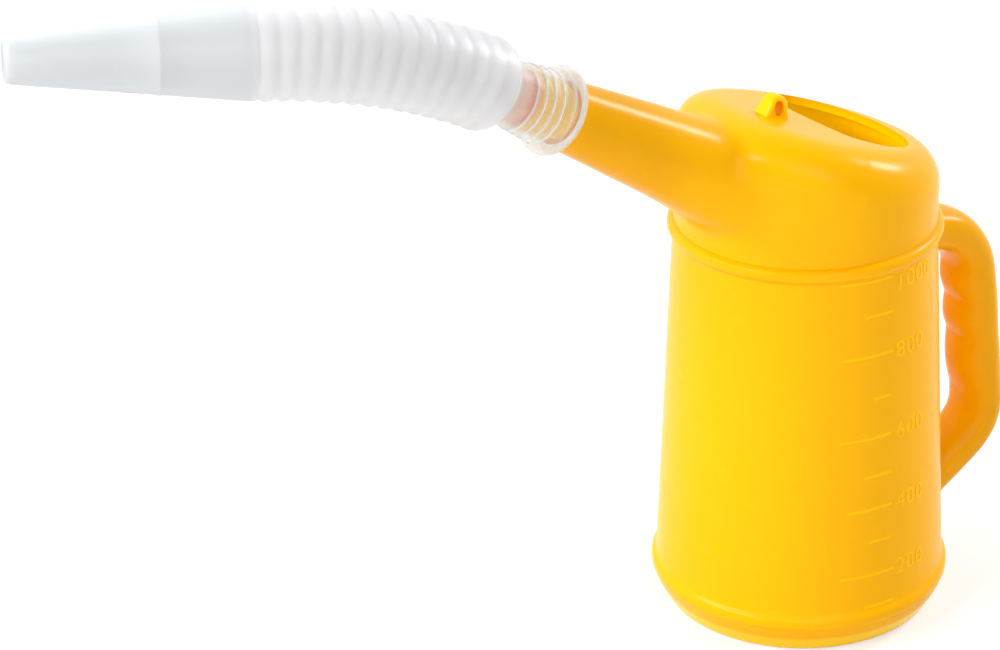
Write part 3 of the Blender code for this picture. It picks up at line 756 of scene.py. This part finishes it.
def hose(name, first, ribs, finish):
    """A stretch of the hose from valley to valley. Its wall thins at its ends, so no seam shows."""
    last = first + ribs
    stations = [first + i / RIB_STEPS for i in range(ribs * RIB_STEPS + 1)]
    outer = [(rib(s), s * RIB_PITCH) for s in stations]
    inner = [(RIB_VALLEY + 0.3 * (rib(s) - RIB_VALLEY)
              - FROSTED_WALL * min(1.0, 0.1 + 3 * min(s - first, last - s)), s * RIB_PITCH)
             for s in reversed(stations)]
    bm = noted(spun(outer + inner, FROSTED_STEPS, closed=True), "cloudiness_and_highlight",
               lambda co: 0.80 if hypot(co.x, co.y) > RIB_VALLEY - 0.00015 else 0.30)
    plain = [vert.co.copy() for vert in bm.verts]
    made = piece(name, moved(bm, on_hose), finish, crease=60)

    def sharpness(distance):
        from_end = min(abs(distance - first * RIB_PITCH), abs(distance - last * RIB_PITCH))
        return 0 if from_end < 1e-5 else RIB_SHARPNESS

    made.data.normals_split_custom_set_from_vertices([
        softened(vert.normal, co, sharpness(co.z)) for vert, co in zip(made.data.vertices, plain)])
    return made


def softened(rib_normal, co, sharpness):
    """A rib's normal drawn towards the plain tube's, because the milky wall spreads the light."""
    _, _, normal, side = hose_frame(co.z)
    tube = (normal * co.x + side * co.y).normalized()
    if tube.dot(rib_normal) < 0:
        tube.negate()
    return (sharpness * rib_normal + (1 - sharpness) * tube).normalized()


def nozzle(finish):
    """The long cone with its seam ring and rounded tip. Its first millimetres end the hose."""
    start = hose_length()
    taper = (NOZZLE_BASE_RADIUS - NOZZLE_TIP_RADIUS) / NOZZLE_LENGTH

    def cone(distance):
        return NOZZLE_BASE_RADIUS - taper * distance

    outer = [(RIB_VALLEY, 0), (RIB_VALLEY + 0.0002, 0.0005), (cone(0.0012) - 0.0001, 0.0012),
             (cone(0.0020), 0.0020), (cone(0.0030), 0.0030)]
    outer += [(cone(d), d) for d in (0.010, 0.020, SEAM_RING - 0.0012)]
    outer += [(cone(SEAM_RING) + 0.0002, SEAM_RING - 0.0005),
              (cone(SEAM_RING) + 0.0002, SEAM_RING + 0.0004),
              (cone(SEAM_RING + 0.0010), SEAM_RING + 0.0010)]
    outer += [(cone(d), d) for d in (0.045, 0.060, 0.074)]
    end = NOZZLE_LENGTH
    outer += [(cone(end - 0.0024), end - 0.0024), (cone(end) - 0.0002, end - 0.0010),
              (cone(end) - 0.0010, end - 0.0001), (cone(end) - 0.0016, end - 0.0001)]
    inner = [(cone(end) - 0.0018, end - 0.0014), (cone(0.060) - 0.0011, 0.060),
             (cone(0.002) - FROSTED_WALL, 0.002), (RIB_VALLEY - 0.1 * FROSTED_WALL, 0)]
    profile = [(radius, start + distance) for radius, distance in outer + inner]
    bm = noted(spun(profile, FROSTED_STEPS, closed=True), "cloudiness_and_highlight",
               lambda co: 0.79 if hypot(co.x, co.y) > cone(co.z - start) - 0.0007 else 0.30)
    noted(bm, "greyness", lambda co: along_stops(co.z - start, ((0.0002, 0.0), (0.0030, 1.0))))
    plain = [vert.co.copy() for vert in bm.verts]
    made = piece("nozzle_cone", moved(bm, on_hose), finish, crease=50)
    last_rounded = start + 0.0029
    made.data.normals_split_custom_set_from_vertices([
        softened(vert.normal, co, RIB_SHARPNESS) if co.z < last_rounded else vert.normal
        for vert, co in zip(made.data.vertices, plain)])
    return made


# Finishes

def group(name, sockets):
    """A shader node group with the named inputs and outputs."""
    tree = bpy.data.node_groups.new(name, "ShaderNodeTree")
    for socket, way, kind, value in sockets:
        made = tree.interface.new_socket(name=socket, in_out=way, socket_type=kind)
        if value is not None:
            made.default_value = value
    return tree, tree.nodes.new("NodeGroupInput"), tree.nodes.new("NodeGroupOutput")


def eased(tree, value, low, high, top=1.0):
    """A smooth rise from 0 to the top amount while the value goes from low to high."""
    made = tree.nodes.new("ShaderNodeMapRange")
    made.interpolation_type = "SMOOTHSTEP"
    made.inputs["From Min"].default_value = low
    made.inputs["From Max"].default_value = high
    made.inputs["To Max"].default_value = top
    tree.links.new(value, made.inputs["Value"])
    return made.outputs["Result"]


def greater(tree, first, second):
    made = tree.nodes.new("ShaderNodeMath")
    made.operation = "MAXIMUM"
    tree.links.new(first, made.inputs[0])
    tree.links.new(second, made.inputs[1])
    return made.outputs["Value"]


def mixed(tree, factor, first, second):
    """A colour between two others. Each of the two is a plain colour or another node's colour."""
    made = tree.nodes.new("ShaderNodeMix")
    made.data_type = "RGBA"
    for way, colour in (("A", first), ("B", second)):
        if isinstance(colour, tuple):
            made.inputs[way].default_value = (*colour, 1)
        else:
            tree.links.new(colour, made.inputs[way])
    tree.links.new(factor, made.inputs["Factor"])
    return made.outputs["Result"]


def noted_amount(tree, name):
    """What the piece's layer of this name holds."""
    made = tree.nodes.new("ShaderNodeAttribute")
    made.attribute_name = name
    return made.outputs["Fac"]


def moulded_skin():
    """Slight unevenness of a blow-moulded skin: a normal and a mask of duller patches."""
    tree, ins, outs = group("moulded skin", (
        ("Waviness", "INPUT", "NodeSocketFloat", 0.2),
        ("Grain", "INPUT", "NodeSocketFloat", 0.1),
        ("Normal", "OUTPUT", "NodeSocketVector", None),
        ("Dull", "OUTPUT", "NodeSocketFloat", None)))
    nodes, links = tree.nodes, tree.links
    place = nodes.new("ShaderNodeTexCoord")
    wave = nodes.new("ShaderNodeTexNoise")
    wave.inputs["Scale"].default_value = 90
    wave.inputs["Detail"].default_value = 2
    grain = nodes.new("ShaderNodeTexNoise")
    grain.inputs["Scale"].default_value = 1400
    grain.inputs["Detail"].default_value = 3
    slow = nodes.new("ShaderNodeBump")
    slow.inputs["Distance"].default_value = 0.002
    fine = nodes.new("ShaderNodeBump")
    fine.inputs["Distance"].default_value = 0.0002
    links.new(place.outputs["Object"], wave.inputs["Vector"])
    links.new(place.outputs["Object"], grain.inputs["Vector"])
    links.new(wave.outputs["Fac"], slow.inputs["Height"])
    links.new(grain.outputs["Fac"], fine.inputs["Height"])
    links.new(ins.outputs["Waviness"], slow.inputs["Strength"])
    links.new(ins.outputs["Grain"], fine.inputs["Strength"])
    links.new(slow.outputs["Normal"], fine.inputs["Normal"])
    links.new(fine.outputs["Normal"], outs.inputs["Normal"])
    links.new(wave.outputs["Fac"], outs.inputs["Dull"])
    return tree


def plastic(name, base, skin, waviness, grain, roughness):
    """A material with the moulded skin on it. Gives back the material and its shader."""
    made = bpy.data.materials.new(name)
    made.use_nodes = True
    nodes, links = made.node_tree.nodes, made.node_tree.links
    shader = nodes["Principled BSDF"]
    shader.inputs["Base Color"].default_value = (*base, 1)
    shader.inputs["IOR"].default_value = 1.5
    skinned = nodes.new("ShaderNodeGroup")
    skinned.node_tree = skin
    skinned.inputs["Waviness"].default_value = waviness
    skinned.inputs["Grain"].default_value = grain
    links.new(skinned.outputs["Normal"], shader.inputs["Normal"])
    spread = nodes.new("ShaderNodeMapRange")
    spread.inputs["To Min"].default_value = roughness[0]
    spread.inputs["To Max"].default_value = roughness[1]
    links.new(skinned.outputs["Dull"], spread.inputs["Value"])
    links.new(spread.outputs["Result"], shader.inputs["Roughness"])
    made.diffuse_color = (*base, 1)
    return made, shader


def yellow_polyethylene(skin):
    """Bright yellow, more orange at the handle. Towards the rim and along the rigid spout it is made
    more orange too, as painted shade.

    The inside and some small parts glow a little: a painted glow that stands in for light coming
    through the wall.
    """
    made, shader = plastic("yellow polyethylene", (1.0, 0.55, 0.0), skin, waviness=0.05, grain=0.05,
                           roughness=(0.21, 0.30))
    tree = made.node_tree
    place = tree.nodes.new("ShaderNodeTexCoord")
    parts = tree.nodes.new("ShaderNodeSeparateXYZ")
    tree.links.new(place.outputs["Object"], parts.inputs["Vector"])
    outward = eased(tree, parts.outputs["X"], 0.046, 0.060)
    # Painted shade: a little more orange towards the top.
    painted_shade_upward = eased(tree, parts.outputs["Z"], 0.060, 0.190, 0.12)
    # Painted shade: the rigid spout is made more orange, standing in for the shade on its underside.
    painted_spout_shade = eased(tree, parts.outputs["X"], -0.052, -0.078)
    deeper_and_painted_shade = greater(tree, greater(tree, painted_shade_upward, outward), painted_spout_shade)
    colour = mixed(tree, deeper_and_painted_shade, (0.96, 0.46, 0.0), (0.86, 0.39, 0.0))
    # Painted light: an emission on what the inside layer marks, a glow that stands in for light coming
    # through the wall.
    through = mixed(tree, noted_amount(tree, "inside"), (0.0, 0.0, 0.0), (0.12, 0.16, 0.0))
    tree.links.new(colour, shader.inputs["Base Color"])
    tree.links.new(through, shader.inputs["Emission Color"])
    shader.inputs["Emission Strength"].default_value = 1.0
    shader.inputs["Specular IOR Level"].default_value = 0.09
    return made


def frosted_polyethylene(skin):
    """Milky and partly see-through, with soft gloss, by each piece's milkiness and greyness. On the
    collar's thread crests the milkiness is a painted highlight.
    """
    made, shader = plastic("frosted polyethylene", (0.80, 0.81, 0.83), skin, waviness=0.05, grain=0.08,
                           roughness=(0.36, 0.48))
    tree = made.node_tree
    cloudiness_and_highlight = noted_amount(tree, "cloudiness_and_highlight")
    edge = tree.nodes.new("ShaderNodeLayerWeight")
    edge.inputs["Blend"].default_value = 0.5
    thicker = tree.nodes.new("ShaderNodeMath")
    thicker.operation = "MULTIPLY_ADD"
    thicker.use_clamp = True
    thicker.inputs[1].default_value = 0.42
    tree.links.new(edge.outputs["Facing"], thicker.inputs[0])
    tree.links.new(cloudiness_and_highlight, thicker.inputs[2])
    tree.links.new(thicker.outputs["Value"], shader.inputs["Alpha"])
    paler = tree.nodes.new("ShaderNodeValToRGB")
    stops = paler.color_ramp.elements
    stops[0].position, stops[0].color = 0.30, (0.77, 0.755, 0.72, 1)
    stops[1].position, stops[1].color = 1.0, (0.93, 0.92, 0.88, 1)
    stops.new(0.80).color = (0.73, 0.73, 0.742, 1)
    tree.links.new(cloudiness_and_highlight, paler.inputs["Fac"])
    greyness = noted_amount(tree, "greyness")
    colour = mixed(tree, greyness, paler.outputs["Color"], (0.605, 0.63, 0.65))
    tree.links.new(colour, shader.inputs["Base Color"])
    shader.inputs["Specular IOR Level"].default_value = 0.45
    return made


def red_plastic(skin):
    return plastic("red plastic", (0.98, 0.36, 0.17), skin, waviness=0.03, grain=0.05,
                   roughness=(0.30, 0.40))[0]


# Studio

def camera():
    """The photograph's viewpoint."""
    lens = bpy.data.cameras.new("camera")
    lens.lens = 126
    lens.sensor_width = 36
    lens.clip_start = 0.05
    lens.clip_end = 20
    made = bpy.data.objects.new("camera", lens)
    right = Vector((0.8381, -0.5452, -0.0197))
    up = Vector((0.2552, 0.3598, 0.8974))
    back = -Vector((0.4822, 0.7571, -0.4407))
    turn = Matrix((right, up, back)).transposed().to_4x4()
    made.matrix_world = Matrix.Translation((-0.6904, -0.8836, 0.6557)) @ turn
    bpy.context.collection.objects.link(made)
    bpy.context.scene.camera = made


def lamp(name, place, target, size, power):
    """A rectangular soft lamp at the place, turned to the target."""
    light = bpy.data.lights.new(name, "AREA")
    light.shape = "RECTANGLE"
    light.size = size[0]
    light.size_y = size[1]
    light.energy = power
    made = bpy.data.objects.new(name, light)
    made.location = place
    made.rotation_euler = (Vector(target) - Vector(place)).to_track_quat("-Z", "Y").to_euler()
    bpy.context.collection.objects.link(made)


def seen(tree):
    """1 for what the camera sees, straight, mirrored or through something clear."""
    path = tree.nodes.new("ShaderNodeLightPath").outputs
    return greater(tree, greater(tree, path["Is Camera Ray"], path["Is Glossy Ray"]),
                   path["Is Transmission Ray"])


def surroundings():
    """White all round to the eye, while most of their light comes from behind the jug."""
    world = bpy.data.worlds.new("surroundings")
    bpy.context.scene.world = world
    world.use_nodes = True
    tree = world.node_tree
    glow = tree.nodes["Background"]
    glow.inputs["Color"].default_value = (1, 1, 1, 1)
    place = tree.nodes.new("ShaderNodeTexCoord")
    behind = tree.nodes.new("ShaderNodeVectorMath")
    behind.operation = "DOT_PRODUCT"
    behind.inputs[1].default_value = (0.38, 0.86, -0.34)
    tree.links.new(place.outputs["Generated"], behind.inputs[0])
    backdrop = tree.nodes.new("ShaderNodeMapRange")
    backdrop.interpolation_type = "SMOOTHSTEP"
    backdrop.inputs["From Min"].default_value = -0.45
    backdrop.inputs["From Max"].default_value = 0.75
    backdrop.inputs["To Min"].default_value = 0.17
    backdrop.inputs["To Max"].default_value = 1.75
    tree.links.new(behind.outputs["Value"], backdrop.inputs["Value"])
    strength = tree.nodes.new("ShaderNodeMapRange")
    tree.links.new(seen(tree), strength.inputs["Value"])
    tree.links.new(backdrop.outputs["Result"], strength.inputs["To Min"])
    strength.inputs["To Max"].default_value = 1.0
    tree.links.new(strength.outputs["Result"], glow.inputs["Strength"])


def floor():
    """A pale floor that looks white and keeps the jug's shadow."""
    bm = bmesh.new()
    bmesh.ops.create_grid(bm, x_segments=1, y_segments=1, size=3)
    bmesh.ops.translate(bm, verts=bm.verts, vec=(0, 0, -0.0003))
    pale = bpy.data.materials.new("pale floor")
    pale.use_nodes = True
    tree = pale.node_tree
    shader = tree.nodes["Principled BSDF"]
    shader.inputs["Roughness"].default_value = 0.9
    shader.inputs["Specular IOR Level"].default_value = 0.0
    shader.inputs["Emission Color"].default_value = (1, 1, 1, 1)
    straight = seen(tree)
    strength = tree.nodes.new("ShaderNodeMapRange")
    strength.inputs["To Max"].default_value = 0.56
    tree.links.new(straight, strength.inputs["Value"])
    tree.links.new(strength.outputs["Result"], shader.inputs["Emission Strength"])
    paint = mixed(tree, straight, (0.72, 0.72, 0.72), (0.44, 0.44, 0.44))
    tree.links.new(paint, shader.inputs["Base Color"])
    piece("floor", bm, pale)


def lamps():
    lamp("left softbox", (-1.41, 0.20, 1.01), (0, 0, 0.10), (1.3, 0.18), 27)
    lamp("right softbox", (1.38, -0.04, 0.94), (0, 0, 0.10), (0.3, 0.4), 13)
    lamp("front fill", (-0.55, -1.46, 1.00), (0, 0, 0.10), (1.4, 1.2), 13)


def on_body(made, body, slot, *nodes):
    """Put a piece on its body, in place of the named solids. The slot is not used."""
    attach(made, body)
    if nodes:
        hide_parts(*nodes)


def main():
    skin = moulded_skin()
    yellow = yellow_polyethylene(skin)
    frosted = frosted_polyethylene(skin)
    red = red_plastic(skin)
    camera()
    surroundings()
    floor()
    lamps()
    bpy.context.scene.view_settings.view_transform = "Standard"
    for make in (jug_wall, jug_top, spout_mouth, handle, lug):
        on_body(make(yellow), "jug", "yellow_polyethylene", "jug_body")
    on_body(graduations(yellow), "jug", "yellow_polyethylene")
    on_body(strainer(red), "strainer", "red_plastic", "strainer")
    on_body(collar(frosted), "collar", "frosted_polyethylene", "spout_collar")
    first = 0
    for number, ribs in enumerate(RIBS_IN_SEGMENTS, start=1):
        stretch = hose(f"ribbed_hose_{number}", first, ribs, frosted)
        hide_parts(f"hose_{number}")
        low, high = first * RIB_PITCH, (first + ribs) * RIB_PITCH
        margin = 0.1 * (high - low)
        tuple(hose_frame(low + margin)[0])
        tuple(hose_frame(high - margin)[0])
        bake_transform(stretch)
        first += ribs
    on_body(nozzle(frosted), "nozzle", "frosted_polyethylene", "nozzle")


main()
